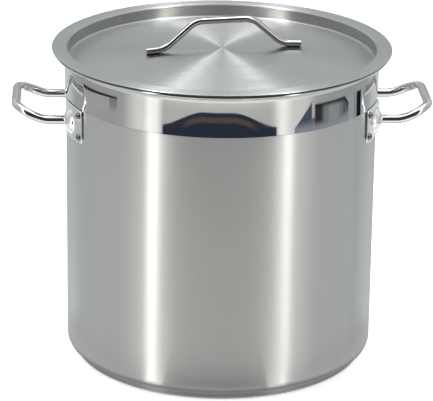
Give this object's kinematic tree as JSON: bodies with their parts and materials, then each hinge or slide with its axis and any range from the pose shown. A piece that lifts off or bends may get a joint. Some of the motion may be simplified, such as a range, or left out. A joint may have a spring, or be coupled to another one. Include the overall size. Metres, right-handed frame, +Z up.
{
  "type": "stock pot",
  "caption": "Tall straight-sided steel stock pot with a capped sandwich base, riveted tube side handles and a loose recessed lid with a bent rod handle.",
  "frame": {"origin": "centre of the underside of the base, where the pot rests", "axes": "+Z up, the side handles on the X axis, the front facing -Y"},
  "size_m": [0.4336, 0.3508, 0.3619],
  "materials": {
    "brushed_wall": "satin wall brushed around the pot, with a mirror-polished band above the seam",
    "base_steel": "satin, turned",
    "aluminium_core": "plain, hidden inside the base",
    "brushed_lid": "circular brushed",
    "polished_tube": "polished stainless steel",
    "polished_plate": "polished stainless steel, pressed",
    "rivet_steel": "polished stainless steel",
    "polished_rod": "polished stainless steel"
  },
  "bodies": {
    "pot": {"pot_body": "brushed_wall", "base_core": "aluminium_core", "base_cap": "base_steel", "left_handle": "polished_tube", "right_handle": "polished_tube", "right_front_bracket": "polished_plate", "right_rear_bracket": "polished_plate", "left_front_bracket": "polished_plate", "left_rear_bracket": "polished_plate", "right_front_rivet_upper": "rivet_steel", "right_front_rivet_lower": "rivet_steel", "right_rear_rivet_upper": "rivet_steel", "right_rear_rivet_lower": "rivet_steel", "left_front_rivet_upper": "rivet_steel", "left_front_rivet_lower": "rivet_steel", "left_rear_rivet_upper": "rivet_steel", "left_rear_rivet_lower": "rivet_steel"},
    "lid": {"lid_pan": "brushed_lid", "lid_handle": "polished_rod"}
  },
  "joints": [
    {"name": "lid_lift", "type": "slide", "parent": "pot", "child": "lid", "axis": [0, 0, 1], "range_m": [0, 0.15]}
  ]
}
